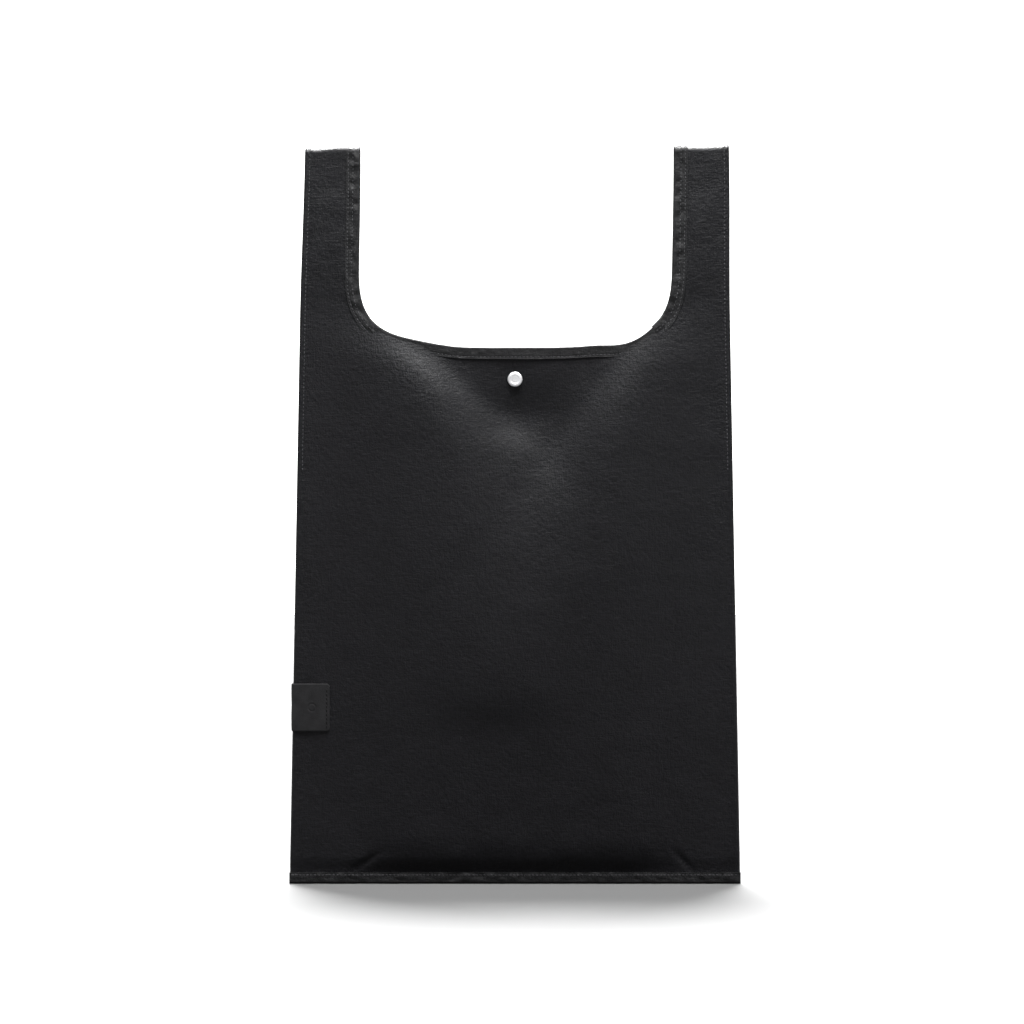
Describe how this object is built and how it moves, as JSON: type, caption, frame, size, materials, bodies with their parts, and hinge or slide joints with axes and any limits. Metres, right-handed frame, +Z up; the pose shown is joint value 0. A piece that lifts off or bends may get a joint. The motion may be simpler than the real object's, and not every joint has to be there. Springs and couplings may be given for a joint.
{
  "type": "foldable tote bag",
  "caption": "Flat foldable cloth tote bag with loop handles, a bound neckline and bottom seam, folded side gussets, a snap closure and a leather side tab.",
  "frame": {"origin": "middle of the underside of the bottom seam, on the surface the bag stands on", "axes": "+Z up along the bag's height, the front with the snap cap and the tab faces -Y, +X to the viewer's right"},
  "size_m": [0.3608, 0.0247, 0.59],
  "materials": {
    "bag_cloth": "matte",
    "binding_tape": "matte",
    "tab_leather": "satin",
    "snap_metal": "satin"
  },
  "bodies": {
    "lower": {"bottom_binding": "binding_tape", "front_panel_lower": "bag_cloth", "back_panel_lower": "bag_cloth", "left_gusset_lower": "bag_cloth", "right_gusset_lower": "bag_cloth", "leather_tab": "tab_leather"},
    "upper": {"front_panel_upper": "bag_cloth", "left_shoulder_front": "bag_cloth", "right_shoulder_front": "bag_cloth", "back_panel_upper": "bag_cloth", "left_gusset_upper": "bag_cloth", "right_gusset_upper": "bag_cloth", "neckline_binding_back": "binding_tape", "left_shoulder_binding": "binding_tape", "right_shoulder_binding": "binding_tape", "snap_stud": "snap_metal", "snap_post": "snap_metal", "back_snap_patch": "binding_tape"},
    "front_mouth": {"front_mouth_panel": "bag_cloth", "neckline_binding_front": "binding_tape", "snap_cap": "snap_metal", "snap_socket": "snap_metal", "front_snap_patch": "binding_tape"},
    "left_handle": {"left_handle_front_strip": "bag_cloth", "left_handle_back_strip": "bag_cloth", "left_handle_crown": "bag_cloth", "left_handle_binding_front": "binding_tape", "left_handle_binding_back": "binding_tape"},
    "right_handle": {"right_handle_front_strip": "bag_cloth", "right_handle_back_strip": "bag_cloth", "right_handle_crown": "bag_cloth", "right_handle_binding_front": "binding_tape", "right_handle_binding_back": "binding_tape"}
  },
  "joints": [
    {"name": "half_fold", "type": "hinge", "parent": "lower", "child": "upper", "pos_m": [0, 0.0088, 0.295], "axis": [-1, 0, 0], "range_deg": [0, 170]},
    {"name": "mouth_open", "type": "hinge", "parent": "upper", "child": "front_mouth", "pos_m": [0, -0.0168, 0.33], "axis": [1, 0, 0], "range_deg": [0, 30]},
    {"name": "left_handle_flop", "type": "hinge", "parent": "upper", "child": "left_handle", "pos_m": [-0.147, -0.006, 0.465], "axis": [1, 0, 0], "range_deg": [0, 165]},
    {"name": "right_handle_flop", "type": "hinge", "parent": "upper", "child": "right_handle", "pos_m": [0.147, -0.006, 0.465], "axis": [1, 0, 0], "range_deg": [0, 165]}
  ]
}
